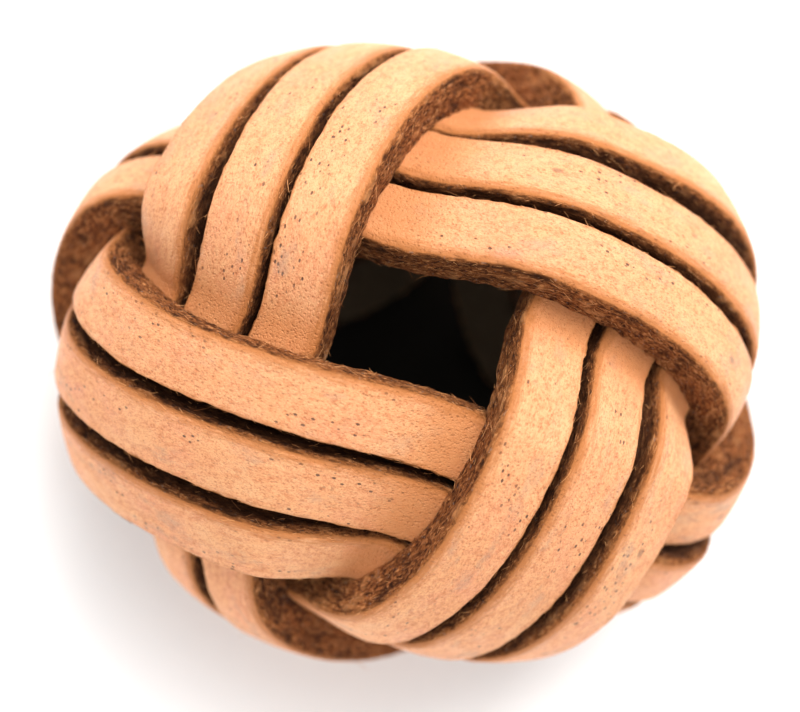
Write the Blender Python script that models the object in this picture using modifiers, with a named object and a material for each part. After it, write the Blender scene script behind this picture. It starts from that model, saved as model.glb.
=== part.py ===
"""A hollow ball plaited from three flat leather laces.

The plait is a Turk's head of three leads and four bights. Its path goes three times round the
ball while it swings four times between the top opening and the bottom opening. Three laces lie
side by side along that path, and each crosses itself and the other two, over and under in turn.
Each lace is one open strip whose skived ends lap under a crossing at the bottom of the ball.

Metres, +Z up through both square openings. The origin is where the axis through the openings
meets the surface that the ball rests on.
"""

import math

import bmesh
import bpy
import numpy as np

# Driving dimensions
BALL_RADII = np.array([0.0284, 0.0240, 0.0210])  # surface midway between over and under laces
LACE_WIDTH = 0.0052
LACE_THICKNESS = 0.0041
LANE_GAP = 0.0009  # between neighbouring laces, at their inner faces
CROSSING_GAP = 0.0012  # between an over lace and the under lace below it
EDGE_ROUND = 0.0004  # rounding of the lace's corners
REST_FLAT = 0.0007  # depth pressed flat where the ball rests
LAP_LENGTH = 0.012  # length over which the two skived ends of a lace share its thickness
SKIVED_TIP = 0.0007
LAP_GAP = 0.0012

# The path of the plait
LEADS = 3
BIGHTS = 4
FIRST_BIGHT = math.radians(73.0)  # direction of the first top arc, seen from above
SWING = math.radians(53.0)  # how far the path swings towards each opening
SWING_LIFT = math.radians(7.3)  # the whole swing sits this much towards the top opening
SWING_SKEW = math.radians(-3.5)  # lowers both the top arcs and the bottom arcs
SWING_FLATNESS = 0.05  # share of the third harmonic, which flattens the arcs
CROSSING_TURN = math.radians(60.0)  # from the middle of a top arc to its crossings
FULL_TURN = 2.0 * math.pi
CIRCUIT = BIGHTS * FULL_TURN
LEAD_PER_BIGHT = LEADS / BIGHTS

STRAIGHT_MARGIN = 0.0024  # a lace stays level this far beyond the edge of a crossing
SECTIONS_PER_LACE = 210
PATH_SAMPLES = 1440
BAND_SPREAD = 0.0006  # the outer faces stand this much further apart than the inner ones
BAND_HALF_WIDTH = 1.5 * LACE_WIDTH + LANE_GAP + BAND_SPREAD
CROSSING_HEIGHT = 0.5 * (LACE_THICKNESS + CROSSING_GAP)
SKIVE_SLOPE = (LACE_THICKNESS - SKIVED_TIP) / LAP_LENGTH
LAP_OVERRUN = (LACE_THICKNESS - 2.0 * SKIVED_TIP - LAP_GAP) / SKIVE_SLOPE

CUTTER_WIDTH = 0.080
CUTTER_DEPTH = 0.010

# Each lace: its place across the band, the bight that holds its lapped ends, and its colour
LACES = {
    "lace_pole_side": (1, 0, (0.80, 0.50, 0.28, 1.0)),
    "lace_middle": (0, 1, (0.78, 0.48, 0.27, 1.0)),
    "lace_rim_side": (-1, 2, (0.76, 0.46, 0.25, 1.0)),
}
LOWEST_PLACE = -1  # the lace next to the bottom opening, which the ball rests on
LEATHER_ROUGHNESS = 0.62


def unit(vectors):
    """Scale every row to length one."""
    return vectors / np.linalg.norm(vectors, axis=-1, keepdims=True)


def across_rows(values, rows):
    """Multiply each row of vectors by its own value."""
    return rows * values[:, None]


def path_direction(turn):
    """Direction, from the ball's centre, of the middle of the band at each turn along it."""
    longitude = FIRST_BIGHT + LEAD_PER_BIGHT * turn
    latitude = SWING_LIFT + SWING * (np.cos(turn) - SWING_FLATNESS * np.cos(3.0 * turn))
    latitude = latitude + SWING_SKEW * np.cos(2.0 * turn)
    return np.stack(
        [
            np.cos(latitude) * np.cos(longitude),
            np.cos(latitude) * np.sin(longitude),
            np.sin(latitude),
        ],
        axis=-1,
    )


def inner_face_level(turn):
    """Height of the band's inner face: low near an under crossing, high near an over crossing."""
    side = np.clip(-np.sin(2.0 * turn) / math.sin(2.0 * CROSSING_TURN), -1.0, 1.0)
    return CROSSING_HEIGHT * side - 0.5 * LACE_THICKNESS


def offset_direction(turn, offset):
    """The same direction moved sideways along the surface, positive to the left of travel."""
    step = 1e-3
    ahead = path_direction(turn + step) - path_direction(turn - step)
    middle = path_direction(turn)
    left = np.cross(middle, unit(ahead))
    radii = BALL_RADII + inner_face_level(turn)[:, None]
    angle = offset / np.linalg.norm(left * radii, axis=-1)
    return unit(across_rows(np.cos(angle), middle) + across_rows(np.sin(angle), left))


def surface_frame(turn, offset):
    """Points on the ball's middle surface, with their directions along, across and outwards."""
    step = 1e-3
    direction = offset_direction(turn, offset)
    ahead = offset_direction(turn + step, offset) - offset_direction(turn - step, offset)
    along = unit(ahead * BALL_RADII)
    outward = unit(direction / BALL_RADII)
    across = unit(np.cross(outward, along))
    return direction * BALL_RADII, along, across, outward


def crossings():
    """Every crossing on the circuit as its turn and +1 where the lace is over, -1 where under."""
    found = []
    for bight in range(BIGHTS):
        top = bight * FULL_TURN
        bottom = top + 0.5 * FULL_TURN
        found.append((top - CROSSING_TURN, 1))
        found.append((top + CROSSING_TURN, -1))
        found.append((bottom - CROSSING_TURN, 1))
        found.append((bottom + CROSSING_TURN, -1))
    return found


def turn_between(turn, other):
    """Signed turn from other to turn, the short way round the closed circuit."""
    return (turn - other + 0.5 * CIRCUIT) % CIRCUIT - 0.5 * CIRCUIT


def crossed_band(crossing_turn):
    """The turn at which the path passes the same place a second time."""
    place = path_direction(np.array([crossing_turn]))
    others = [turn for turn, _ in crossings() if abs(turn_between(turn, crossing_turn)) > 1e-6]
    distances = [np.linalg.norm(path_direction(np.array([turn])) - place) for turn in others]
    return others[int(np.argmin(distances))]


def distance_to_band(points, band_turn):
    """Distance from each point to the edge of the three-lace band near one turn, zero inside."""
    reach = math.radians(75.0)
    middle, _, _, _ = surface_frame(np.linspace(band_turn - reach, band_turn + reach, 151), 0.0)
    gaps = np.linalg.norm(points[:, None, :] - middle[None, :, :], axis=-1).min(axis=1)
    return np.maximum(gaps - BAND_HALF_WIDTH - STRAIGHT_MARGIN, 0.0)


def lace_height(turn, offset):
    """Height of a line along the lace above the middle surface, from its nearest crossings."""
    points, _, _, _ = surface_frame(turn, offset)
    nearest = {1: np.full(len(turn), np.inf), -1: np.full(len(turn), np.inf)}
    for crossing_turn, side in crossings():
        close = np.abs(turn_between(turn, crossing_turn)) < math.radians(150.0)
        distance = distance_to_band(points[close], crossed_band(crossing_turn))
        nearest[side][close] = np.minimum(nearest[side][close], distance)
    share = (nearest[-1] - nearest[1]) / (nearest[-1] + nearest[1] + 1e-9)
    return CROSSING_HEIGHT * share * (1.5 - 0.5 * share * share)


def smoothed(values, count):
    """Running average round the closed circuit with a bell-shaped window."""
    window = np.hanning(count + 2)[1:-1]
    window = window / window.sum()
    half = count // 2
    wrapped = np.concatenate([values[-half:], values, values[:half]])
    return np.convolve(wrapped, window, mode="valid")


def lace_line(offset):
    """Centre, across and outward directions of one lace at even turns round the circuit."""
    turn = np.linspace(0.0, CIRCUIT, PATH_SAMPLES, endpoint=False)
    edge = 0.45 * LACE_WIDTH
    window = 25
    left = smoothed(lace_height(turn, offset + edge), window)
    right = smoothed(lace_height(turn, offset - edge), window)
    middle = smoothed(lace_height(turn, offset), window)
    points, _, across, outward = surface_frame(turn, offset)
    centre = points + across_rows(0.5 * middle + 0.25 * (left + right), outward)
    along = unit(np.roll(centre, -1, axis=0) - np.roll(centre, 1, axis=0))
    across = across + across_rows((left - right) / (2.0 * edge), outward)
    across = unit(across - across_rows(np.sum(across * along, axis=-1), along))
    return turn, centre, across, np.cross(along, across)


def even_stations(centre, turn, lap_turn):
    """Row numbers, with fractions, that cut the line into equal lengths from lap to lap."""
    steps = np.linalg.norm(np.roll(centre, -1, axis=0) - centre, axis=1)
    length = np.concatenate([[0.0], np.cumsum(steps)])
    first = np.interp(lap_turn, turn, length[:-1]) - 0.5 * LAP_LENGTH
    wanted = first + np.linspace(0.0, length[-1] + LAP_OVERRUN, SECTIONS_PER_LACE)
    rows = np.interp(wanted % length[-1], length, np.arange(len(length)))
    return rows, wanted - first, length[-1]


def sampled(rows, values):
    """Rows of a closed table at fractional row numbers."""
    low = np.floor(rows).astype(int)
    share = rows - low
    return across_rows(1.0 - share, values[low % len(values)]) + across_rows(
        share, values[(low + 1) % len(values)]
    )


def skived_faces(distance, circuit_length):
    """Heights of the lace's outer and inner faces: whole between the two skived ends."""
    half = 0.5 * LACE_THICKNESS
    outer = np.minimum(half, SKIVED_TIP - half + SKIVE_SLOPE * distance)
    past_start = distance - circuit_length
    inner = np.maximum(-half, SKIVED_TIP - half + LAP_GAP + SKIVE_SLOPE * past_start)
    return outer, inner


def lace_ribbon(name, place, lap_bight):
    """The middle surface of one lace, two faces wide, with its share of the full thickness."""
    offset = place * (LACE_WIDTH + LANE_GAP)
    turn, centre, across, outward = lace_line(offset)
    lap_turn = (lap_bight + 0.5) * FULL_TURN + CROSSING_TURN
    rows, distance, circuit_length = even_stations(centre, turn, lap_turn)
    outer, inner = skived_faces(distance, circuit_length)
    across = unit(sampled(rows, across))
    outward = unit(sampled(rows, outward))
    middle = sampled(rows, centre) + across_rows(0.5 * (outer + inner), outward)
    share = (outer - inner) / LACE_THICKNESS

    mesh = bpy.data.meshes.new(name)
    build = bmesh.new()
    weights = build.verts.layers.deform.new()
    edges = []
    for row in range(len(rows)):
        pair = []
        for side in (0.5, -0.5):
            vertex = build.verts.new(middle[row] + side * LACE_WIDTH * across[row])
            vertex[weights][0] = share[row]
            pair.append(vertex)
        edges.append(pair)
    for (left, right), (next_left, next_right) in zip(edges, edges[1:]):
        build.faces.new((left, right, next_right, next_left))
    build.to_mesh(mesh)
    build.free()
    return mesh


def leather_material(name, colour):
    """Vegetable-tanned leather, smooth side out."""
    material = bpy.data.materials.new(name + "_leather")
    material.use_nodes = True
    shader = material.node_tree.nodes["Principled BSDF"]
    shader.inputs["Base Color"].default_value = colour
    shader.inputs["Roughness"].default_value = LEATHER_ROUGHNESS
    shader.inputs["Metallic"].default_value = 0.0
    return material


def add_thickness(lace):
    """Thicken the ribbon evenly to both sides, thinner where its ends are skived."""
    lace.vertex_groups.new(name="thickness")
    solidify = lace.modifiers.new("thickness", "SOLIDIFY")
    solidify.thickness = LACE_THICKNESS
    solidify.offset = 0.0
    solidify.use_even_offset = False
    solidify.vertex_group = "thickness"
    solidify.thickness_vertex_group = 0.0


def round_corners(lace):
    """Break the long corners of the strip."""
    bevel = lace.modifiers.new("rounded corners", "BEVEL")
    bevel.width = EDGE_ROUND
    bevel.segments = 1
    bevel.limit_method = "ANGLE"
    bevel.angle_limit = math.radians(55.0)
    bevel.use_clamp_overlap = True


def press_flat(lace, floor_cutter):
    """Flatten the lace where it would touch the surface that the ball rests on."""
    cut = lace.modifiers.new("rest flat", "BOOLEAN")
    cut.operation = "DIFFERENCE"
    cut.solver = "EXACT"
    cut.object = floor_cutter


def make_lace(name, place, lap_bight, colour, centre_height, collection):
    """One whole lace: its ribbon, thickened and rounded."""
    lace = bpy.data.objects.new(name, lace_ribbon(name, place, lap_bight))
    lace.location = (0.0, 0.0, centre_height)
    lace.data.materials.append(leather_material(name, colour))
    collection.objects.link(lace)
    add_thickness(lace)
    round_corners(lace)
    return lace


def height_of_centre():
    """Height of the ball's centre when its lowest lace is pressed flat on the plane z = 0."""
    _, centre, across, outward = lace_line(LOWEST_PLACE * (LACE_WIDTH + LANE_GAP))
    corner = centre - 0.5 * LACE_WIDTH * across + 0.5 * LACE_THICKNESS * outward
    return -float(corner[:, 2].min()) - REST_FLAT


def make_floor_cutter(collection):
    """A slab under the plane z = 0, which the ball rests on."""
    bpy.ops.mesh.primitive_cube_add(size=1.0, location=(0.0, 0.0, -0.5 * CUTTER_DEPTH))
    slab = bpy.context.object
    slab.name = "floor_cutter"
    slab.scale = (CUTTER_WIDTH, CUTTER_WIDTH, CUTTER_DEPTH)
    bpy.ops.object.transform_apply(location=False, rotation=False, scale=True)
    for owner in list(slab.users_collection):
        owner.objects.unlink(slab)
    collection.objects.link(slab)
    slab.hide_render = True
    slab.display_type = "WIRE"
    return slab


def new_collection(name):
    """A collection linked to the scene."""
    collection = bpy.data.collections.new(name)
    bpy.context.scene.collection.children.link(collection)
    return collection


def main():
    for old in list(bpy.data.objects):
        bpy.data.objects.remove(old, do_unlink=True)
    ball = new_collection("knotted_lace_ball")
    cutters = new_collection("cutters")
    floor_cutter = make_floor_cutter(cutters)
    centre_height = height_of_centre()
    for name, (place, lap_bight, colour) in LACES.items():
        lace = make_lace(name, place, lap_bight, colour, centre_height, ball)
        if place == LOWEST_PLACE:
            press_flat(lace, floor_cutter)


main()
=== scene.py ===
"""A hollow ball plaited from three flat vegetable-tanned leather laces, on a pale studio floor.

Each lace is one long strip of leather: a smooth tan grain face outwards, rough brown cut edges and a
beige flesh side inwards. Everything on it is worked out in the lace's own coordinates (metres along
the strip, across it and through it) and then bent into the plait.
"""

import math

import bpy
import numpy as np
from mathutils import Matrix, Vector


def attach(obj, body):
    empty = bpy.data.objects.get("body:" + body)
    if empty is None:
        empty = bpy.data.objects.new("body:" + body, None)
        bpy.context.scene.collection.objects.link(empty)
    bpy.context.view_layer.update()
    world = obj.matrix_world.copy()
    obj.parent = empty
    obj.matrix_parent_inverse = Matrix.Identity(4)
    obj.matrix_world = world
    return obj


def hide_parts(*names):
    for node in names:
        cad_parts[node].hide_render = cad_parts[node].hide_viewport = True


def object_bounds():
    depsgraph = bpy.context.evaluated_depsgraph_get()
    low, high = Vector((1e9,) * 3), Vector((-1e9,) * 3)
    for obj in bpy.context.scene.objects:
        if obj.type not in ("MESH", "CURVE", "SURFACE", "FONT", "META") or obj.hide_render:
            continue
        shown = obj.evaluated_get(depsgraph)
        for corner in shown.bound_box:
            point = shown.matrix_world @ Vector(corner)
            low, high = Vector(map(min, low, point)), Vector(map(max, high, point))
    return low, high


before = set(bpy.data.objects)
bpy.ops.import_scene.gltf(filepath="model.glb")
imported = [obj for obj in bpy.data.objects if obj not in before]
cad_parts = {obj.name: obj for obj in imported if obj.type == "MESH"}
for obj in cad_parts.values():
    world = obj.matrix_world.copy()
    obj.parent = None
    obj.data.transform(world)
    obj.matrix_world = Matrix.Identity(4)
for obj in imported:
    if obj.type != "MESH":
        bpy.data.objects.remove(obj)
cad_low, cad_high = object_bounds()

MM = 0.001

# The ball, from the CAD box
HALF_LENGTH = 0.5 * (cad_high.x - cad_low.x)
HALF_DEPTH = 0.5 * (cad_high.y - cad_low.y)
HEIGHT = cad_high.z - cad_low.z
SURFACE_RADII = np.array([0.8620 * HALF_LENGTH, 0.8425 * HALF_DEPTH, 0.4620 * HEIGHT])

# The lace
FACE_WIDTH = 5.72 * MM  # of the grain face
FLESH_WIDTH = 5.35 * MM
THICKNESS = 4.2 * MM
LANE_GAP = 0.38 * MM  # between neighbouring laces at their flesh side
PRESSED = 0.15 * MM  # how far crossing laces press into each other
STATION_STEP = 0.24 * MM  # between the sections of a lace's mesh
LEFT_ROUND = 0.70 * MM  # the grain face's left corner is worn round
RIGHT_ROUND = 0.24 * MM
FLESH_ROUND = 0.25 * MM
CROWN = 0.16 * MM  # the grain face is this much higher in the middle
LAP_LENGTH = 12.0 * MM  # the two skived ends of a lace share its thickness over this length
SKIVED_TIP = 0.7 * MM
SKIVE_SLOPE = (THICKNESS - SKIVED_TIP) / LAP_LENGTH

# Each lace: CAD node, place across the band, bight that holds its lapped ends
LACES = (
    ("lace_pole_side", 1, 0),
    ("lace_middle", 0, 1),
    ("lace_rim_side", -1, 2),
)

# Loose fibres on the cut edges
FUZZ_PER_LACE = 4200
FIBRE_LENGTH = 0.45  # middle value, in millimetres
FIBRE_SHORTEST = 0.15
FIBRE_LONGEST = 2.0
FIBRE_THINNEST = 0.014  # radius, in millimetres
FIBRE_THICKEST = 0.040
FIBRE_RINGS = 5
FIBRE_SIDES = 3
CORNER_CROWDING = 1.6  # more fibres stand on the corners than on the sides,
LEFT_CROWDING = 1.8  # and more on the worn left edge than on the right

# Where the ball rests
REST_CLEARANCE = 0.02 * MM
REST_FLAT = 0.6 * MM
REST_PRESS = 0.97  # share of what would be below the floor that is pressed up

# Where squeezing by hand has left the ball out of round: longitude, latitude and width in degrees,
# and height in millimetres
SWELLS = (
    (315.0, 12.0, 18.0, 2.2),
    (44.0, 16.0, 15.0, 2.0),
    (55.0, -18.0, 15.0, -1.8),
    (142.0, -18.0, 16.0, -2.2),
    (222.0, -18.0, 17.0, -2.6),
    (336.0, -18.0, 15.0, -2.6),
)

# The path of the plait: three leads and four bights
FIRST_BIGHT = math.radians(72.97)
SWING = math.radians(54.85)
SWING_LIFT = math.radians(7.11)  # the whole swing sits this much towards the top
SWING_FLATNESS = 0.023  # share of the third harmonic, which flattens the arcs
SWING_SKEW = math.radians(-4.88)  # lowers both the top arcs and the bottom arcs
FULL_TURN = 2.0 * math.pi
BIGHTS = 4
CIRCUIT = BIGHTS * FULL_TURN
LEAD_PER_BIGHT = 0.75
CROSSING_TURN = math.radians(60.0)
PATH_SAMPLES = 2880
RIM_SPREAD = 0.51 * MM  # the lace next to the rim swings out where it climbs and in where it dives
STRAIGHT_MARGIN = 0.6 * MM  # a lace stays level this far beyond the edge of a crossing
DIVE_SHARPNESS = 0.25  # how soon a lace leaves its level on its way to the next crossing
BAND_SPREAD = 0.6 * MM  # the outer faces stand this much further apart than the inner ones
BAND_HALF_WIDTH = 1.5 * FACE_WIDTH + LANE_GAP + BAND_SPREAD
CROSSING_HEIGHT = 0.5 * (THICKNESS - PRESSED)


def cos(angle):
    """Cosine of an angle in degrees."""
    return math.cos(math.radians(angle))


def sin(angle):
    """Sine of an angle in degrees."""
    return math.sin(math.radians(angle))


def unit(vectors):
    """Scale every row to length one."""
    return vectors / np.linalg.norm(vectors, axis=-1, keepdims=True)


def rows_times(values, rows):
    """Multiply each row of vectors by its own value."""
    return rows * values[:, None]


def path_direction(turn):
    """Direction, from the ball's centre, of the middle of the band at each turn along it."""
    longitude = FIRST_BIGHT + LEAD_PER_BIGHT * turn
    latitude = SWING_LIFT + SWING * (np.cos(turn) - SWING_FLATNESS * np.cos(3.0 * turn))
    latitude = latitude + SWING_SKEW * np.cos(2.0 * turn)
    return np.stack(
        [
            np.cos(latitude) * np.cos(longitude),
            np.cos(latitude) * np.sin(longitude),
            np.sin(latitude),
        ],
        axis=-1,
    )


def over_share(turn):
    """+1 near an over crossing, -1 near an under crossing."""
    return np.clip(-np.sin(2.0 * turn) / math.sin(2.0 * CROSSING_TURN), -1.0, 1.0)


def lane_offset(turn, place):
    """Distance of one lace's middle from the middle of the band, positive to the left of travel."""
    top = 0.5 + 0.5 * np.cos(turn)
    rim_side = top if place < 0 else 1.0 - top
    spread = RIM_SPREAD * over_share(turn) * rim_side
    return place * (0.5 * (FACE_WIDTH + FLESH_WIDTH) + LANE_GAP + spread)


def ball_surface(direction):
    """Points of the ball's middle surface in the given directions, with the surface's normals."""
    outward = unit(direction / SURFACE_RADII)
    swell = np.zeros(len(direction))
    for longitude, latitude, width, height in SWELLS:
        level = cos(latitude)
        middle = np.array([level * cos(longitude), level * sin(longitude), sin(latitude)])
        apart = np.degrees(np.arccos(np.clip(direction @ middle, -1.0, 1.0)))
        swell += height * MM * np.exp(-((apart / width) ** 2))
    return direction * SURFACE_RADII + rows_times(swell, outward), outward


def beside_path(turn, offset):
    """Direction of the place that lies offset beside the path, measured at the laces' inner face."""
    step = 1e-3
    middle = path_direction(turn)
    left = np.cross(middle, unit(path_direction(turn + step) - path_direction(turn - step)))
    level = CROSSING_HEIGHT * over_share(turn) - 0.5 * THICKNESS
    points, outward = ball_surface(middle)
    start = points + rows_times(level, outward)
    angle = offset / np.mean(SURFACE_RADII) * np.ones(len(turn))
    for _ in range(3):
        direction = unit(rows_times(np.cos(angle), middle) + rows_times(np.sin(angle), left))
        points, outward = ball_surface(direction)
        reached = np.linalg.norm(points + rows_times(level, outward) - start, axis=-1)
        angle = angle * np.abs(offset) / np.maximum(reached, 1e-7)
    return unit(rows_times(np.cos(angle), middle) + rows_times(np.sin(angle), left))


def surface_frame(turn, offset):
    """Points on the ball's middle surface, with their directions along, across and outwards."""
    step = 1e-3
    direction = beside_path(turn, offset)
    points, outward = ball_surface(direction)
    ahead, _ = ball_surface(beside_path(turn + step, offset))
    behind, _ = ball_surface(beside_path(turn - step, offset))
    along = unit(ahead - behind)
    across = unit(np.cross(outward, along))
    return points, along, across, outward


def crossings():
    """Every crossing on the circuit as its turn and +1 where the lace is over, -1 where under."""
    found = []
    for bight in range(BIGHTS):
        for middle in (bight * FULL_TURN, (bight + 0.5) * FULL_TURN):
            found.append((middle - CROSSING_TURN, 1))
            found.append((middle + CROSSING_TURN, -1))
    return found


def turn_between(turn, other):
    """Signed turn from other to turn, the short way round the closed circuit."""
    return (turn - other + 0.5 * CIRCUIT) % CIRCUIT - 0.5 * CIRCUIT


def crossed_band(crossing_turn):
    """The turn at which the path passes the same place a second time."""
    place = path_direction(np.array([crossing_turn]))
    others = [turn for turn, _ in crossings() if abs(turn_between(turn, crossing_turn)) > 1e-6]
    distances = [np.linalg.norm(path_direction(np.array([turn])) - place) for turn in others]
    return others[int(np.argmin(distances))]


def distance_to_band(points, band_turn):
    """Distance from each point to the edge of the three-lace band near one turn, zero inside."""
    reach = math.radians(75.0)
    middle, _, _, _ = surface_frame(np.linspace(band_turn - reach, band_turn + reach, 151), 0.0)
    gaps = np.linalg.norm(points[:, None, :] - middle[None, :, :], axis=-1).min(axis=1)
    return np.maximum(gaps - BAND_HALF_WIDTH - STRAIGHT_MARGIN, 0.0)


def lace_height(turn, offset):
    """Height of a line along the lace above the middle surface, from its nearest crossings."""
    points, _, _, _ = surface_frame(turn, offset)
    nearest = {1: np.full(len(turn), np.inf), -1: np.full(len(turn), np.inf)}
    for crossing_turn, side in crossings():
        close = np.abs(turn_between(turn, crossing_turn)) < math.radians(150.0)
        distance = distance_to_band(points[close], crossed_band(crossing_turn))
        nearest[side][close] = np.minimum(nearest[side][close], distance)
    share = (nearest[-1] - nearest[1]) / (nearest[-1] + nearest[1] + 1e-9)
    return CROSSING_HEIGHT * share * (1.0 + DIVE_SHARPNESS - DIVE_SHARPNESS * share * share)


def smoothed(values, length):
    """Running average round the closed circuit with a bell-shaped window, in samples."""
    window = np.hanning(length + 2)[1:-1]
    window = window / window.sum()
    half = length // 2
    wrapped = np.concatenate([values[-half:], values, values[:half]])
    return np.convolve(wrapped, window, mode="valid")


def lace_line(place):
    """Turn, centre, across and outward directions of one lace round the circuit."""
    turn = np.linspace(0.0, CIRCUIT, PATH_SAMPLES, endpoint=False)
    offset = lane_offset(turn, place)
    edge = 0.45 * FACE_WIDTH
    window = 2 * round(PATH_SAMPLES / 110.0) + 1
    left = smoothed(lace_height(turn, offset + edge), window)
    right = smoothed(lace_height(turn, offset - edge), window)
    middle = smoothed(lace_height(turn, offset), window)
    points, _, across, outward = surface_frame(turn, offset)
    centre = points + rows_times(0.5 * middle + 0.25 * (left + right), outward)
    along = unit(np.roll(centre, -1, axis=0) - np.roll(centre, 1, axis=0))
    across = across + rows_times((left - right) / (2.0 * edge), outward)
    across = unit(across - rows_times(np.sum(across * along, axis=-1), along))
    return turn, centre, across, np.cross(along, across)



def lattice_noise(points, cell, seed):
    """Smooth random values from -1 to 1 at points; cell is the size of a blob along each axis."""
    rng = np.random.default_rng(seed)
    count = 4096
    table = rng.uniform(-1.0, 1.0, count)
    shuffle = rng.permutation(count)
    scaled = points / np.asarray(cell, float)
    low = np.floor(scaled).astype(np.int64)
    share = scaled - low
    share = share * share * (3.0 - 2.0 * share)
    total = np.zeros(len(points))
    for corner in np.ndindex(2, 2, 2):
        node = low + np.array(corner)
        key = shuffle[node[:, 0] % count]
        key = shuffle[(key + node[:, 1]) % count]
        key = shuffle[(key + node[:, 2]) % count]
        weight = np.prod(np.where(corner, share, 1.0 - share), axis=1)
        total += weight * table[key]
    return total


def along_noise(along, cell, seed):
    """Smooth random values along the lace only."""
    points = np.stack([along, np.zeros(len(along)), np.zeros(len(along))], axis=-1)
    return lattice_noise(points, (cell, 1.0, 1.0), seed)


def smooth_step(low, high, values):
    """0 below low, 1 above high, and a smooth rise between."""
    share = np.clip((values - low) / (high - low), 0.0, 1.0)
    return share * share * (3.0 - 2.0 * share)


def corner_points(centre_y, centre_z, radius, start, end, count):
    """Points and outward directions round one rounded corner of the section, in degrees."""
    angles = np.radians(np.linspace(start, end, count))
    direction = np.stack([np.cos(angles), np.sin(angles)], axis=-1)
    return np.array([centre_y, centre_z]) + radius * direction, direction


def side_points(start, end, count, direction):
    """Points between two corners of the section, without its ends."""
    share = np.linspace(0.0, 1.0, count + 2)[1:-1, None]
    points = (1.0 - share) * start + share * end
    return points, np.tile(np.asarray(direction, float), (count, 1))


def section_outline():
    """The lace's section as points (across, through) and outward directions, going round once."""
    half_face = 0.5 * FACE_WIDTH
    half_flesh = 0.5 * FLESH_WIDTH
    top = 0.5 * THICKNESS
    corners = [
        corner_points(RIGHT_ROUND - half_face, top - RIGHT_ROUND, RIGHT_ROUND, 90.0, 180.0, 6),
        corner_points(-half_flesh + FLESH_ROUND, FLESH_ROUND - top, FLESH_ROUND, 180.0, 270.0, 4),
        corner_points(half_flesh - FLESH_ROUND, FLESH_ROUND - top, FLESH_ROUND, 270.0, 360.0, 4),
        corner_points(half_face - LEFT_ROUND, top - LEFT_ROUND, LEFT_ROUND, 0.0, 90.0, 10),
    ]
    sides = [(22, (-1.0, 0.0)), (12, (0.0, -1.0)), (22, (1.0, 0.0)), (26, (0.0, 1.0))]
    points = []
    directions = []
    for number, (corner, (count, direction)) in enumerate(zip(corners, sides)):
        following = corners[(number + 1) % len(corners)]
        points.append(corner[0])
        directions.append(corner[1])
        between, outward = side_points(corner[0][-1], following[0][0], count, direction)
        points.append(between)
        directions.append(outward)
    points = np.concatenate(points)
    high = smooth_step(0.0, top, points[:, 1])
    points[:, 1] -= CROWN * high * (points[:, 0] / half_face) ** 2
    return points, np.concatenate(directions)


def even_stations(centre, turn, lap_turn):
    """Row numbers, with fractions, that cut the line into equal lengths from lap to lap."""
    steps = np.linalg.norm(np.roll(centre, -1, axis=0) - centre, axis=1)
    length = np.concatenate([[0.0], np.cumsum(steps)])
    first = np.interp(lap_turn, turn, length[:-1]) - 0.5 * LAP_LENGTH
    overrun = (THICKNESS - 2.0 * SKIVED_TIP) / SKIVE_SLOPE
    distance = np.arange(0.0, length[-1] + overrun, STATION_STEP)
    rows = np.interp((distance + first) % length[-1], length, np.arange(len(length)))
    return rows, distance, length[-1]


def sampled(rows, values):
    """Rows of a closed table at fractional row numbers."""
    low = np.floor(rows).astype(int)
    share = rows - low
    return rows_times(1.0 - share, values[low % len(values)]) + rows_times(
        share, values[(low + 1) % len(values)]
    )


def skived(through, distance, circuit_length):
    """Squeeze the section between the lace's outer and inner faces near its two thin ends."""
    half = 0.5 * THICKNESS
    outer = np.minimum(half, SKIVED_TIP - half + SKIVE_SLOPE * distance)
    inner = np.maximum(-half, SKIVED_TIP - half + SKIVE_SLOPE * (distance - circuit_length))
    share = (through[None, :] + half) / THICKNESS
    return inner[:, None] + share * (outer - inner)[:, None]


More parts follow.
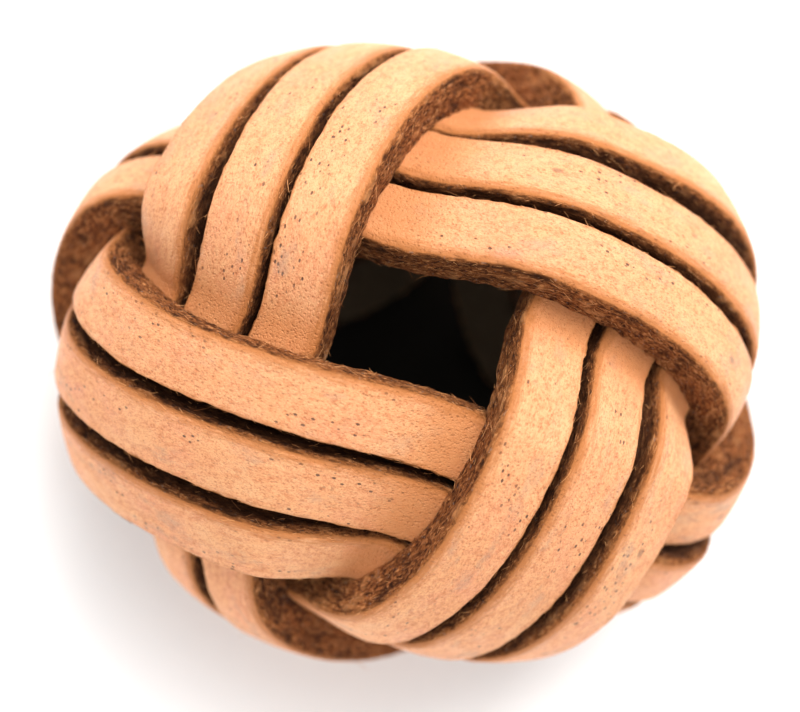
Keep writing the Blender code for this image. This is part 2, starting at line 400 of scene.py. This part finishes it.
def worn_section(distance, outline, normals, seed):
    """The section at every station with its wear: points (stations, around, 2) and lace places."""
    stations, around = len(distance), len(outline)
    place = np.zeros((stations, around, 3))
    place[:, :, 0] = distance[:, None]
    place[:, :, 1] = outline[None, :, 0]
    place[:, :, 2] = outline[None, :, 1]
    flat = place.reshape(-1, 3)
    top = 0.5 * THICKNESS
    grain = smooth_step(0.3, 0.9, np.tile(normals[:, 1], stations))
    edge = smooth_step(0.3, 0.9, np.abs(np.tile(normals[:, 0], stations)))
    flesh = smooth_step(0.3, 0.9, -np.tile(normals[:, 1], stations))
    low_down = smooth_step(0.2 * top, -top, flat[:, 2])

    undulation = 0.055 * MM * lattice_noise(flat, (7.0 * MM, 3.0 * MM, 9.0 * MM), seed)
    undulation += 0.022 * MM * lattice_noise(flat, (1.6 * MM, 1.1 * MM, 9.0 * MM), seed + 1)
    cut = 0.12 * MM * lattice_noise(flat, (3.2 * MM, 9.0 * MM, 1.3 * MM), seed + 2)
    cut += 0.12 * MM * lattice_noise(flat, (0.80 * MM, 9.0 * MM, 0.50 * MM), seed + 3)
    fibres = np.abs(lattice_noise(flat, (0.75 * MM, 9.0 * MM, 0.26 * MM), seed + 4))
    cut += 0.12 * MM * (0.35 - fibres)
    cut += (0.10 * low_down) * MM * lattice_noise(flat, (0.9 * MM, 9.0 * MM, 1.5 * MM), seed + 5)
    ragged = 0.11 * MM * lattice_noise(flat, (1.0 * MM, 0.9 * MM, 0.8 * MM), seed + 6)
    amount = grain * undulation + edge * cut + flesh * 1.4 * ragged
    corner = 1.0 - np.maximum(np.maximum(grain, edge), flesh)
    worn = smooth_step(0.0, 0.4 * FACE_WIDTH, flat[:, 1])
    notch = np.minimum(0.0, lattice_noise(flat, (1.3 * MM, 0.5 * MM, 0.5 * MM), seed + 7) + 0.35)
    nick = lattice_noise(flat, (0.45 * MM, 0.35 * MM, 0.35 * MM), seed + 13)
    amount += corner * worn * (0.16 * MM * notch + 0.09 * MM * nick)
    amount += corner * (1.0 - worn) * 0.03 * MM * nick
    moved = place.copy()
    moved[:, :, 1:] += amount.reshape(stations, around)[:, :, None] * normals[None, :, :]
    width = 1.0 + 0.018 * along_noise(distance, 14.0 * MM, seed + 8)
    width += 0.010 * along_noise(distance, 4.0 * MM, seed + 9)
    moved[:, :, 1] *= width[:, None]
    return moved, place, amount.reshape(stations, around)


def float_attribute(mesh, name, values):
    """Keep one number for every vertex of a mesh."""
    attribute = mesh.attributes.new(name, "FLOAT", "POINT")
    attribute.data.foreach_set("value", np.ascontiguousarray(values, np.float32).ravel())


def vector_attribute(mesh, name, values):
    """Keep one vector for every vertex of a mesh."""
    attribute = mesh.attributes.new(name, "FLOAT_VECTOR", "POINT")
    attribute.data.foreach_set("vector", np.ascontiguousarray(values, np.float32).ravel())


def mesh_from(name, points, faces):
    """A smooth mesh from arrays of points and four-sided faces."""
    mesh = bpy.data.meshes.new(name)
    mesh.vertices.add(len(points))
    mesh.vertices.foreach_set("co", np.ascontiguousarray(points, np.float32).ravel())
    mesh.loops.add(faces.size)
    mesh.loops.foreach_set("vertex_index", np.ascontiguousarray(faces, np.int32).ravel())
    mesh.polygons.add(len(faces))
    mesh.polygons.foreach_set("loop_start", np.arange(0, faces.size, 4, dtype=np.int32))
    mesh.update(calc_edges=True)
    mesh.shade_smooth()
    return mesh


def ring_faces(stations, around):
    """Faces of a tube of rings, each ring going round once."""
    ring = np.arange(around)
    following = (ring + 1) % around
    start = (np.arange(stations - 1) * around)[:, None]
    return np.stack(
        [start + ring, start + following, start + around + following, start + around + ring],
        axis=-1,
    ).reshape(-1, 4)


def lace_shape(name, place, lap_bight, seed):
    """The points of one lace with everything that its materials and its fuzz need."""
    turn, centre, across, outward = lace_line(place)
    height = np.sum((centre - surface_frame(turn, lane_offset(turn, place))[0]) * outward, axis=-1)
    lap_turn = (lap_bight + 0.5) * FULL_TURN + CROSSING_TURN
    rows, distance, circuit_length = even_stations(centre, turn, lap_turn)
    centre = sampled(rows, centre)
    across = unit(sampled(rows, across))
    outward = unit(sampled(rows, outward))
    dive = np.interp(rows % len(turn), np.arange(len(turn) + 1), np.append(height, height[0]))
    outline, normals = section_outline()
    moved, place_in_lace, relief = worn_section(distance, outline, normals, seed)

    wander = 0.13 * MM * along_noise(distance, 17.0 * MM, seed + 10)
    lift = 0.06 * MM * along_noise(distance, 11.0 * MM, seed + 11)
    roll = math.radians(1.6) * along_noise(distance, 15.0 * MM, seed + 12)
    y = moved[:, :, 1] + wander[:, None]
    through = moved[:, :, 2]
    squeezed = skived(outline[:, 1], distance, circuit_length)
    z = through - outline[None, :, 1] + squeezed + lift[:, None] + roll[:, None] * y
    points = (
        centre[:, None, :]
        + y[:, :, None] * across[:, None, :]
        + z[:, :, None] * outward[:, None, :]
    )
    return {
        "name": name,
        "place_across": place,
        "points": points,
        "along": unit(np.gradient(centre, axis=0)),
        "across": across,
        "outward": outward,
        "outline": outline,
        "normals": normals,
        "place": place_in_lace,
        "relief": relief,
        "dive": dive / CROSSING_HEIGHT,
        "distance": distance,
    }


def make_lace(shape, drop):
    """The mesh of one lace, moved down by drop so that the ball rests on the floor."""
    points = shape["points"].copy()
    points[:, :, 2] -= drop
    stations, around, _ = points.shape
    points = flattened_at_floor(points)
    faces = ring_faces(stations, around)
    caps = []
    half = around // 2
    for start in (0, (stations - 1) * around):
        ring = start + np.arange(around)
        for step in range(half - 1):
            quad = [ring[step], ring[step + 1], ring[-step - 2], ring[-step - 1]]
            caps.append(quad if start else quad[::-1])
    mesh = mesh_from(shape["name"] + "_leather", points.reshape(-1, 3), np.concatenate([faces, caps]))
    normals = np.tile(shape["normals"], (stations, 1))
    vector_attribute(mesh, "lace_place", shape["place"])
    float_attribute(mesh, "grain_side", smooth_step(0.45, 0.95, normals[:, 1]))
    float_attribute(mesh, "flesh_side", smooth_step(0.45, 0.95, -normals[:, 1]))
    float_attribute(mesh, "relief", shape["relief"] / (0.2 * MM))
    # dive drives painted shade on the grain towards under crossings
    float_attribute(mesh, "dive", np.repeat(shape["dive"], around))
    facing = -1.0 if shape["place_across"] > 0 else 1.0
    towards = np.abs(normals[:, 0]) if shape["place_across"] == 0 else facing * normals[:, 0]
    # faces_neighbour drives painted shade on cut edges that face the next lace
    float_attribute(mesh, "faces_neighbour", smooth_step(0.3, 0.9, towards))
    lace = bpy.data.objects.new(shape["name"] + "_leather", mesh)
    bpy.context.scene.collection.objects.link(lace)
    return lace


def flattened_at_floor(points):
    """Press everything below the floor up onto it."""
    low = np.maximum(REST_CLEARANCE - points[:, :, 2], 0.0)
    points[:, :, 2] += low * REST_PRESS
    return points


def make_fuzz(shape, drop, count, seed):
    """Loose leather fibres standing and lying along the cut edges of one lace."""
    rng = np.random.default_rng(seed)
    stations, around, _ = shape["points"].shape
    side = np.abs(shape["normals"][:, 0])
    corner = (side > 0.25) & (side < 0.97)
    candidates = np.where(side > 0.25)[0]
    weight = np.where(corner[candidates], CORNER_CROWDING, 1.0)
    weight *= np.where(shape["normals"][candidates, 0] > 0.0, LEFT_CROWDING, 1.0)
    station = rng.integers(8, stations - 8, count)
    spot = rng.choice(candidates, count, p=weight / weight.sum())
    root = shape["points"][station, spot]
    along = shape["along"][station]
    normal = (
        shape["normals"][spot, 0][:, None] * shape["across"][station]
        + shape["normals"][spot, 1][:, None] * shape["outward"][station]
    )
    sideways = np.cross(normal, along)
    length = rng.lognormal(math.log(FIBRE_LENGTH), 0.55, count)
    length = np.clip(length, FIBRE_SHORTEST, FIBRE_LONGEST) * MM
    heading = np.where(rng.random(count) < 0.5, 1.0, -1.0)
    rise = np.abs(rng.normal(0.10, 0.22, count))
    drift = rng.normal(0.0, 0.35, count)
    start = unit(
        rows_times(heading, along) + rows_times(rise, normal) + rows_times(drift, sideways)
    )
    curl_amount = rng.normal(0.0, 0.45, (count, 2))
    curl = rows_times(curl_amount[:, 0], normal) + rows_times(curl_amount[:, 1], sideways)
    radius = rng.uniform(FIBRE_THINNEST, FIBRE_THICKEST, count) * MM
    share = np.linspace(0.0, 1.0, FIBRE_RINGS)
    spine = (
        root[:, None, :]
        - 0.03 * MM * normal[:, None, :]
        + (length[:, None] * share)[:, :, None] * start[:, None, :]
        + (length[:, None] * share**2)[:, :, None] * 0.5 * curl[:, None, :]
    )
    tangent = unit(np.gradient(spine, axis=1))
    first = unit(np.cross(tangent, sideways[:, None, :] + 0.013))
    second = np.cross(tangent, first)
    taper = (1.0 - 0.8 * share**1.5)[None, :, None] * radius[:, None, None]
    angles = np.linspace(0.0, FULL_TURN, FIBRE_SIDES, endpoint=False)
    points = (
        spine[:, :, None, :]
        + (taper * np.cos(angles))[:, :, :, None] * first[:, :, None, :]
        + (taper * np.sin(angles))[:, :, :, None] * second[:, :, None, :]
    )
    points[:, :, :, 2] = np.maximum(points[:, :, :, 2] - drop, REST_CLEARANCE)
    one = ring_faces(FIBRE_RINGS, FIBRE_SIDES)
    corners = FIBRE_RINGS * FIBRE_SIDES
    faces = (one[None] + (np.arange(count) * corners)[:, None, None]).reshape(-1, 4)
    mesh = mesh_from(shape["name"] + "_fuzz", points.reshape(-1, 3), faces)
    float_attribute(mesh, "fibre_tone", np.repeat(rng.random(count), corners))
    float_attribute(mesh, "fibre_share", np.tile(np.repeat(share, FIBRE_SIDES), count))
    fuzz = bpy.data.objects.new(shape["name"] + "_fuzz", mesh)
    bpy.context.scene.collection.objects.link(fuzz)
    return fuzz


class Shade:
    """Short ways to add and join the nodes of one material."""

    def __init__(self, name):
        self.material = bpy.data.materials.new(name)
        self.material.use_nodes = True
        self.nodes = self.material.node_tree.nodes
        self.links = self.material.node_tree.links
        self.surface = self.nodes["Principled BSDF"]

    def put(self, value, socket):
        """Join a socket to another, or set its value."""
        if isinstance(value, bpy.types.NodeSocket):
            self.links.new(value, socket)
        else:
            socket.default_value = value

    def attribute(self, name, output="Fac"):
        """A value kept on the mesh's vertices."""
        node = self.nodes.new("ShaderNodeAttribute")
        node.attribute_name = name
        return node.outputs[output]

    def math(self, operation, first, second=0.0, third=0.0):
        """One sum on numbers."""
        node = self.nodes.new("ShaderNodeMath")
        node.operation = operation
        self.put(first, node.inputs[0])
        self.put(second, node.inputs[1])
        self.put(third, node.inputs[2])
        return node.outputs[0]

    def scaled(self, vector, size, shift=(0.0, 0.0, 0.0)):
        """The vector counted in cells of the given size in millimetres."""
        node = self.nodes.new("ShaderNodeVectorMath")
        node.operation = "MULTIPLY_ADD"
        self.put(vector, node.inputs[0])
        node.inputs[1].default_value = tuple(1.0 / (part * MM) for part in size)
        node.inputs[2].default_value = shift
        return node.outputs[0]

    def noise(self, vector, size, detail=2.0, roughness=0.5, shift=(0.0, 0.0, 0.0), warp=0.0):
        """Soft noise from 0 to 1 with blobs of the given size in millimetres."""
        node = self.nodes.new("ShaderNodeTexNoise")
        self.put(self.scaled(vector, size, shift), node.inputs["Vector"])
        node.inputs["Scale"].default_value = 1.0
        node.inputs["Detail"].default_value = detail
        node.inputs["Roughness"].default_value = roughness
        node.inputs["Distortion"].default_value = warp
        return node.outputs["Fac"]

    def cells(self, vector, size, shift=(0.0, 0.0, 0.0), feature="F1", randomness=1.0):
        """Distance from the nearest cell middle, and a random colour for each cell."""
        node = self.nodes.new("ShaderNodeTexVoronoi")
        node.feature = feature
        self.put(self.scaled(vector, size, shift), node.inputs["Vector"])
        node.inputs["Scale"].default_value = 1.0
        node.inputs["Randomness"].default_value = randomness
        return node.outputs["Distance"], node.outputs.get("Color")

    def ramp(self, value, low, high, start=0.0, end=1.0):
        """A smooth step from start to end while value goes from low to high."""
        node = self.nodes.new("ShaderNodeMapRange")
        node.interpolation_type = "SMOOTHSTEP"
        self.put(value, node.inputs["Value"])
        node.inputs["From Min"].default_value = low
        node.inputs["From Max"].default_value = high
        node.inputs["To Min"].default_value = start
        node.inputs["To Max"].default_value = end
        return node.outputs["Result"]

    def mix(self, share, first, second):
        """The first colour where share is 0 and the second where it is 1."""
        node = self.nodes.new("ShaderNodeMix")
        node.data_type = "RGBA"
        node.clamp_factor = True
        self.put(share, node.inputs["Factor"])
        colours = [socket for socket in node.inputs if socket.type == "RGBA"]
        for value, socket in zip((first, second), colours):
            self.put(value if isinstance(value, bpy.types.NodeSocket) else (*value, 1.0), socket)
        return [socket for socket in node.outputs if socket.type == "RGBA"][0]

    def blend(self, share, first, second):
        """first where share is 0 and second where it is 1, for plain numbers."""
        node = self.nodes.new("ShaderNodeMix")
        node.data_type = "FLOAT"
        self.put(share, node.inputs["Factor"])
        self.put(first, node.inputs["A"])
        self.put(second, node.inputs["B"])
        return node.outputs["Result"]

    def split(self, vector):
        """The X, Y and Z of a vector."""
        node = self.nodes.new("ShaderNodeSeparateXYZ")
        self.put(vector, node.inputs[0])
        return node.outputs

    def bump(self, height, distance):
        """A normal tilted by a height, which counts in distances."""
        node = self.nodes.new("ShaderNodeBump")
        node.inputs["Distance"].default_value = distance
        self.put(height, node.inputs["Height"])
        return node.outputs["Normal"]


GRAIN_TAN = (0.80, 0.362, 0.160)
GRAIN_PINK = (0.79, 0.318, 0.152)
GRAIN_YELLOW = (0.84, 0.430, 0.200)
# dark grain for scores, and painted shade where a lace dives under a crossing
GRAIN_SCORE_AND_TUCK_SHADE = (0.62, 0.225, 0.070)
PORE = (0.54, 0.165, 0.058)
SPECK = (0.10, 0.045, 0.025)
SOIL = (0.36, 0.24, 0.17)
WORN = (0.48, 0.165, 0.042)
# dark fibres, and painted shade in the cut edge's hollows and in the gaps between laces
EDGE_DARK_AND_SHADE = (0.045, 0.015, 0.006)
EDGE_BROWN = (0.320, 0.103, 0.030)
# pale fibres, and painted highlights on the cut edge's ridges
EDGE_PALE_AND_HIGHLIGHT = (0.74, 0.330, 0.125)
EDGE_DUST = (0.27, 0.215, 0.18)
FLESH_BEIGE = (0.15, 0.110, 0.070)
FLESH_GREY = (0.11, 0.078, 0.050)


def grain_tone(shade, place, shift, medium, fine, pore):
    """Tan leather, pink in places and yellow in others, with hair follicles and fine mottling."""
    broad = shade.noise(place, (9.0, 5.0, 9.0), 3.0, 0.55, shift)
    mottle = shade.noise(place, (0.60, 0.42, 9.0), 3.0, 0.65, (shift[1] + 23.0, 5.0, 0.0))
    grain = shade.mix(shade.ramp(broad, 0.35, 0.68), GRAIN_PINK, GRAIN_YELLOW)
    grain = shade.mix(shade.ramp(medium, 0.30, 0.72), grain, GRAIN_TAN)
    pore_amount = shade.math("MULTIPLY", pore, shade.ramp(medium, 0.34, 0.66, 0.10, 0.62))
    grain = shade.mix(pore_amount, grain, PORE)
    grain = shade.mix(shade.ramp(mottle, 0.47, 0.70, 0.0, 0.55), grain, PORE)
    grain = shade.mix(shade.ramp(mottle, 0.48, 0.30, 0.0, 0.60), grain, GRAIN_YELLOW)
    grain = shade.mix(shade.ramp(fine, 0.48, 0.68, 0.0, 0.70), grain, PORE)
    return shade.mix(shade.ramp(fine, 0.47, 0.30, 0.0, 0.60), grain, GRAIN_YELLOW)


def grain_specks(shade, place, shift):
    """Amount of dark specks, which lie in clusters, and of single larger stains."""
    cluster = shade.noise(place, (7.5, 3.6, 9.0), 2.0, 0.6, (shift[0] + 41.0, 7.0, 0.0))
    specks, speck_tone = shade.cells(place, (0.62, 0.40, 9.0), (shift[1], 2.0, 0.0))
    chosen = shade.ramp(shade.split(speck_tone)["X"], 0.60, 0.66)
    speck = shade.math("MULTIPLY", shade.ramp(specks, 0.30, 0.18), chosen)
    speck = shade.math("MULTIPLY", speck, shade.ramp(cluster, 0.50, 0.60, 0.0, 0.92))
    stains, stain_tone = shade.cells(place, (3.4, 2.4, 9.0), (shift[2], 9.0, 0.0))
    chosen = shade.ramp(shade.split(stain_tone)["Y"], 0.80, 0.84)
    stain = shade.math("MULTIPLY", shade.ramp(stains, 0.17, 0.06), chosen)
    return speck, shade.math("MULTIPLY", stain, 0.55)


def grain_face(shade, place, shift):
    """Colour, bump height and roughness of the lace's smooth outer face, with painted shade where it
    dives.
    """
    medium = shade.noise(place, (2.6, 1.7, 9.0), 3.0, 0.6, shift)
    fine = shade.noise(place, (0.16, 0.11, 9.0), 3.0, 0.7, shift)
    pores, _ = shade.cells(place, (0.36, 0.30, 9.0), shift, randomness=1.0)
    pore = shade.ramp(pores, 0.44, 0.10)
    grain = grain_tone(shade, place, shift, medium, fine, pore)
    speck, stain = grain_specks(shade, place, shift)
    grain = shade.mix(speck, grain, SPECK)
    grain = shade.mix(stain, grain, SPECK)

    soil = shade.noise(place, (5.2, 2.8, 9.0), 5.0, 0.68, (shift[0] + 3.0, 31.0, 0.0))
    grain = shade.mix(shade.ramp(soil, 0.52, 0.72, 0.0, 0.46), grain, SOIL)
    score = shade.noise(place, (16.0, 0.13, 9.0), 2.0, 0.5, (shift[1] + 8.0, 1.0, 0.0))
    grain = shade.mix(shade.ramp(score, 0.66, 0.74, 0.0, 0.28), grain, GRAIN_SCORE_AND_TUCK_SHADE)
    # painted shade: the grain darkens where the lace dives towards an under crossing
    dive = shade.attribute("dive")
    grain = shade.mix(shade.ramp(dive, -0.05, -0.85, 0.0, 0.75), grain, GRAIN_SCORE_AND_TUCK_SHADE)

    crease, _ = shade.cells(place, (0.50, 0.34, 9.0), shift, "DISTANCE_TO_EDGE", 0.9)
    height = shade.math("MULTIPLY_ADD", shade.ramp(crease, 0.0, 0.16), 0.35, medium)
    height = shade.math("MULTIPLY_ADD", pore, -1.0, height)
    height = shade.math("MULTIPLY_ADD", fine, 1.3, height)
    height = shade.math("MULTIPLY_ADD", speck, -1.2, height)
    return worn_corners(shade, place, shift, grain), height, shade.ramp(medium, 0.3, 0.7, 0.50, 0.66)


def worn_corners(shade, place, shift, grain):
    """The grain colour with a wide worn corner on the lace's left and a narrow one on its right."""
    side = shade.split(place)["Y"]
    half = 0.5 * FACE_WIDTH
    fray = shade.noise(place, (1.4, 0.26, 9.0), 4.0, 0.65, (shift[2] + 5.0, 3.0, 0.0))
    reach = shade.math("MULTIPLY_ADD", shade.math("SUBTRACT", fray, 0.5), 2.0 * MM, side)
    wide = shade.ramp(reach, half - 1.35 * MM, half - 0.20 * MM, 0.0, 0.95)
    narrow = shade.ramp(reach, 0.45 * MM - half, -half, 0.0, 0.60)
    return shade.mix(narrow, shade.mix(wide, grain, WORN), WORN)


def cut_edge(shade, place, shift, tuft):
    """Colour and bump height of the rough, fibrous sides of the lace, with painted shade in hollows
    and gaps and painted highlights on ridges.
    """
    depth = shade.split(place)["Z"]
    relief = shade.attribute("relief")
    streak = shade.noise(place, (0.62, 0.28, 0.26), 4.0, 0.66, shift, 0.8)
    clump = shade.noise(place, (3.4, 1.6, 0.9), 3.0, 0.6, (shift[0] + 17.0, 0.0, 0.0), 0.5)
    edge = shade.mix(shade.ramp(streak, 0.38, 0.56), EDGE_DARK_AND_SHADE, EDGE_BROWN)
    edge = shade.mix(shade.ramp(clump, 0.45, 0.70, 0.0, 0.45), edge, EDGE_BROWN)
    light = shade.math("MULTIPLY", shade.ramp(streak, 0.50, 0.66), shade.ramp(tuft, 0.42, 0.60))
    edge = shade.mix(light, edge, EDGE_PALE_AND_HIGHLIGHT)
    # painted shade in the hollows of the cut edge and a painted highlight on its ridges
    edge = shade.mix(shade.ramp(relief, 0.0, -0.8, 0.0, 0.85), edge, EDGE_DARK_AND_SHADE)
    edge = shade.mix(shade.ramp(relief, 0.30, 1.0, 0.0, 0.55), edge, EDGE_PALE_AND_HIGHLIGHT)
    dust = shade.noise(place, (0.34, 0.34, 0.30), 2.0, 0.6, (4.0, shift[0], 2.0))
    edge = shade.mix(shade.ramp(dust, 0.62, 0.72, 0.0, 0.55), edge, EDGE_DUST)

    # painted shade: dark deep down where the next lace lies close; and orange just below the grain
    # face
    top = 0.5 * THICKNESS
    deep = shade.ramp(depth, top, 0.1 * top)
    painted_gap_shade = shade.math("MULTIPLY", shade.attribute("faces_neighbour"), deep)
    edge = shade.mix(shade.math("MULTIPLY", painted_gap_shade, 0.85), edge, EDGE_DARK_AND_SHADE)
    skin = shade.math("MULTIPLY_ADD", shade.math("SUBTRACT", tuft, 0.5), 0.7 * MM, depth)
    edge = shade.mix(shade.ramp(skin, top - 0.75 * MM, top - 0.05 * MM, 0.0, 0.75), edge, WORN)
    return edge, shade.math("MULTIPLY_ADD", streak, 6.5, shade.math("MULTIPLY", tuft, 6.0))


def leather(name, seed):
    """Flat vegetable-tanned lace: smooth grain face, fibrous cut edges, matt flesh side."""
    shade = Shade(name)
    shift = (13.7 * seed, 5.1 * seed, 3.3 * seed)
    place = shade.attribute("lace_place", "Vector")
    grain_side = shade.attribute("grain_side")
    flesh_side = shade.attribute("flesh_side")
    tuft = shade.noise(place, (0.52, 0.20, 0.15), 3.0, 0.7, (shift[1] + 11.0, 0.0, 4.0), 0.6)
    grain, grain_height, grain_roughness = grain_face(shade, place, shift)
    edge, edge_height = cut_edge(shade, place, shift, tuft)
    nap = shade.noise(place, (0.55, 0.38, 9.0), 4.0, 0.7, shift)
    flesh = shade.mix(shade.ramp(nap, 0.35, 0.68), FLESH_GREY, FLESH_BEIGE)

    fringe = shade.math("MULTIPLY_ADD", shade.math("SUBTRACT", tuft, 0.5), 0.9, grain_side)
    colour = shade.mix(shade.ramp(fringe, 0.30, 0.62), edge, grain)
    colour = shade.mix(shade.ramp(flesh_side, 0.35, 0.75), colour, flesh)
    height = shade.blend(grain_side, edge_height, grain_height)
    height = shade.blend(flesh_side, height, shade.math("MULTIPLY", nap, 3.5))

    inputs = shade.surface.inputs
    shade.put(colour, inputs["Base Color"])
    shade.put(shade.blend(grain_side, 0.93, grain_roughness), inputs["Roughness"])
    shade.put(shade.blend(grain_side, 0.12, 0.38), inputs["Specular IOR Level"])
    shade.put(shade.bump(height, 0.055 * MM), inputs["Normal"])
    return shade.material


def fibre_leather(name):
    """Loose fibres, from dark brown at some roots to light orange tips."""
    shade = Shade(name)
    tone = shade.attribute("fibre_tone")
    share = shade.attribute("fibre_share")
    colour = shade.mix(shade.ramp(tone, 0.05, 0.75), EDGE_BROWN, EDGE_PALE_AND_HIGHLIGHT)
    colour = shade.mix(shade.math("MULTIPLY", share, 0.35), colour, GRAIN_YELLOW)
    shade.put(colour, shade.surface.inputs["Base Color"])
    shade.surface.inputs["Roughness"].default_value = 0.8
    shade.surface.inputs["Specular IOR Level"].default_value = 0.15
    return shade.material


# painted shade: the floor is near black under the ball, where only shade falls
PAINTED_SHADE_UNDER_BALL = (0.02, 0.018, 0.015)
PAINTED_SHADE_RADIUS = 0.35 * HALF_LENGTH  # the floor is dark up to here,
PALE_RADIUS = 0.75 * HALF_LENGTH  # pale from here on,
GLOW_START = 0.9 * HALF_LENGTH  # and begins to glow here
GLOW_FULL = 1.6 * HALF_LENGTH
# painted light: the floor glows, so it stays white where the ball's shade would fall
FLOOR_GLOW = 0.62


def paper(name):
    """The pale matt floor: glowing all round further out as painted light, and dark under the ball
    itself as painted shade.
    """
    shade = Shade(name)
    place = shade.nodes.new("ShaderNodeTexCoord").outputs["Object"]
    tone = shade.noise(place, (2.0, 2.0, 2.0), 2.0, 0.5)
    sheet = shade.mix(tone, (0.90, 0.90, 0.90), (0.93, 0.93, 0.925))
    length = shade.nodes.new("ShaderNodeVectorMath")
    length.operation = "LENGTH"
    shade.put(place, length.inputs[0])
    distance = length.outputs["Value"]
    # painted shade: the dark patch under the ball gives way to pale paper further out
    lit = shade.ramp(distance, PAINTED_SHADE_RADIUS, PALE_RADIUS)
    shade.put(shade.mix(lit, PAINTED_SHADE_UNDER_BALL, sheet), shade.surface.inputs["Base Color"])
    # painted light: emission makes the floor glow further out from the ball
    glow = shade.ramp(distance, GLOW_START, GLOW_FULL, 0.0, FLOOR_GLOW)
    shade.surface.inputs["Emission Color"].default_value = (1.0, 1.0, 1.0, 1.0)
    shade.put(glow, shade.surface.inputs["Emission Strength"])
    shade.surface.inputs["Roughness"].default_value = 0.9
    shade.surface.inputs["Specular IOR Level"].default_value = 0.1
    return shade.material


def build_laces():
    """Make every lace with its fuzz. Returns how far they came down to rest on the floor."""
    shapes = []
    for number, (node, place, bight) in enumerate(LACES):
        shapes.append(lace_shape(node, place, bight, 100 * (number + 1)))
    drop = min(float(shape["points"][:, :, 2].min()) for shape in shapes) + REST_FLAT
    fuzz_material = fibre_leather("loose_fibres")
    for number, shape in enumerate(shapes):
        node = shape["name"]
        lace = make_lace(shape, drop)
        lace.data.materials.append(leather(node + "_finish", number + 1))
        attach(lace, "root")
        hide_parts(node)
        fuzz = make_fuzz(shape, drop, FUZZ_PER_LACE, 900 + number)
        fuzz.data.materials.append(fuzz_material)
        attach(fuzz, "root")
    return drop


def make_floor():
    """A large flat sheet of pale paper."""
    bpy.ops.mesh.primitive_grid_add(x_subdivisions=24, y_subdivisions=24, size=4.0)
    floor = bpy.context.object
    floor.name = "floor"
    floor.data.materials.append(paper("pale_paper"))


def make_light(name, size, power, position, colour, target):
    """A soft square light that faces the target."""
    data = bpy.data.lights.new(name, "AREA")
    data.shape = "SQUARE"
    data.size = size
    data.energy = power
    data.color = colour
    light = bpy.data.objects.new(name, data)
    light.location = Vector(position)
    light.rotation_mode = "QUATERNION"
    light.rotation_quaternion = (target - light.location).to_track_quat("-Z", "Y")
    bpy.context.scene.collection.objects.link(light)


def make_world(strength):
    """Even white light from all round."""
    world = bpy.data.worlds.new("studio")
    bpy.context.scene.world = world
    world.use_nodes = True
    background = world.node_tree.nodes["Background"]
    background.inputs["Color"].default_value = (1.0, 1.0, 1.0, 1.0)
    background.inputs["Strength"].default_value = strength


SKY_STRENGTH = 0.98
KEY_SIZE = 0.34
KEY_POWER = 3.7
KEY_PLACE = (0.12, 0.32, 0.46)
KEY_COLOUR = (1.0, 0.985, 0.96)

CAMERA_DISTANCE = 175.0 * MM
CAMERA_RIGHT = math.radians(-3.24)  # lean of the view from straight above
CAMERA_FRONT = math.radians(6.56)
CAMERA_ROLL = math.radians(-6.95)
SENSOR_WIDTH = 36.0
LENS = 87.66
AIM_RIGHT = -0.65 * MM
AIM_UP = -0.18 * MM
APERTURE = 4.8 * MM


def make_camera(ball_centre):
    """Almost straight above the top opening, a little towards the front left."""
    back = Vector((math.sin(CAMERA_RIGHT), -math.sin(CAMERA_FRONT), 1.0)).normalized()
    upright = Vector((math.sin(CAMERA_ROLL), math.cos(CAMERA_ROLL), 0.0))
    right = upright.cross(back).normalized()
    up = back.cross(right)
    data = bpy.data.cameras.new("camera")
    data.sensor_width = SENSOR_WIDTH
    data.lens = LENS
    camera = bpy.data.objects.new("camera", data)
    bpy.context.scene.collection.objects.link(camera)
    position = ball_centre + CAMERA_DISTANCE * back
    aim = ball_centre + AIM_RIGHT * right + AIM_UP * up
    view = (position - aim).normalized()
    right = up.cross(view).normalized()
    up = view.cross(right)
    camera.rotation_mode = "QUATERNION"
    rows = ((right.x, up.x, view.x), (right.y, up.y, view.y), (right.z, up.z, view.z))
    camera.rotation_quaternion = Matrix(rows).to_quaternion()
    camera.location = position
    focus = bpy.data.objects.new("focus", None)
    focus.location = ball_centre + Vector((0.0, -8.0 * MM, 20.0 * MM))
    bpy.context.scene.collection.objects.link(focus)
    data.dof.use_dof = True
    data.dof.focus_object = focus
    data.dof.aperture_fstop = LENS * MM / APERTURE
    bpy.context.scene.camera = camera


ball_centre = Vector((0.0, 0.0, -build_laces()))
make_floor()
make_world(SKY_STRENGTH)
make_light("key", KEY_SIZE, KEY_POWER, KEY_PLACE, KEY_COLOUR, ball_centre)
make_camera(ball_centre)
bpy.context.scene.view_settings.view_transform = "Standard"
bpy.context.scene.view_settings.look = "None"
